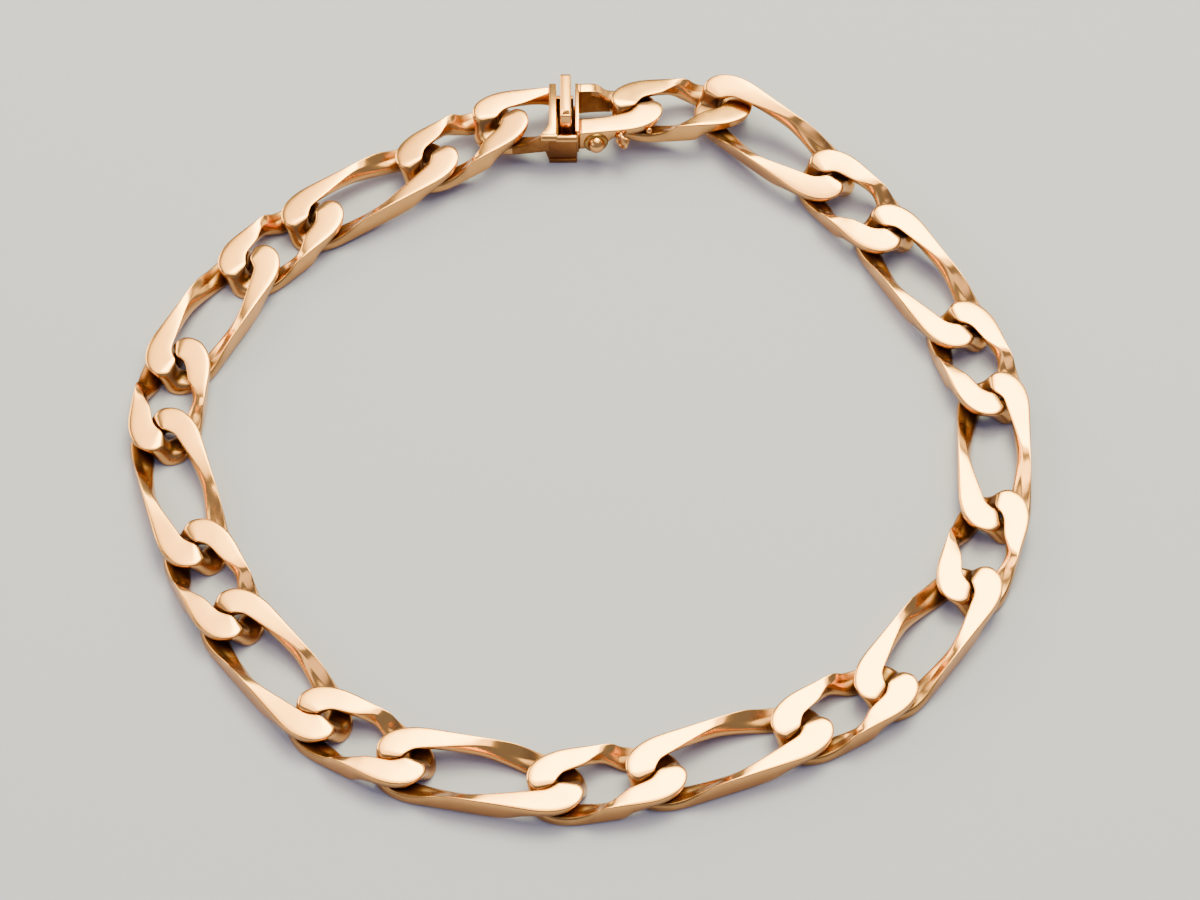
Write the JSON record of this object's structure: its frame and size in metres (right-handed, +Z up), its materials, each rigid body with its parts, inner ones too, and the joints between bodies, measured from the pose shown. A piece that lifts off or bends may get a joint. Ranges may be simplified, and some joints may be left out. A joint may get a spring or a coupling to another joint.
{
  "type": "link bracelet",
  "caption": "Flat curb chain bracelet in rose gold with long and short links in turn and a box clasp with a thumb bar, lying closed in a loop.",
  "frame": {"origin": "on the surface that the bracelet lies on, under the middle of the loop's outline", "axes": "+X to the right along the clasp, +Y away from the viewer towards the clasp's side of the loop, +Z up, square to the flats of the links"},
  "size_m": [0.064, 0.0648, 0.0043],
  "materials": {
    "rose_gold": "polished"
  },
  "bodies": {
    "root": {"link_01": "rose_gold", "link_02": "rose_gold", "link_03": "rose_gold", "link_04": "rose_gold", "link_05": "rose_gold", "link_06": "rose_gold", "link_07": "rose_gold", "link_08": "rose_gold", "link_09": "rose_gold", "link_10": "rose_gold", "link_11": "rose_gold", "link_12": "rose_gold", "link_13": "rose_gold", "link_14": "rose_gold", "link_15": "rose_gold", "link_16": "rose_gold", "link_17": "rose_gold", "link_18": "rose_gold", "link_19": "rose_gold", "link_20": "rose_gold", "link_21": "rose_gold", "clasp_box": "rose_gold", "clasp_tongue": "rose_gold"}
  },
  "joints": []
}
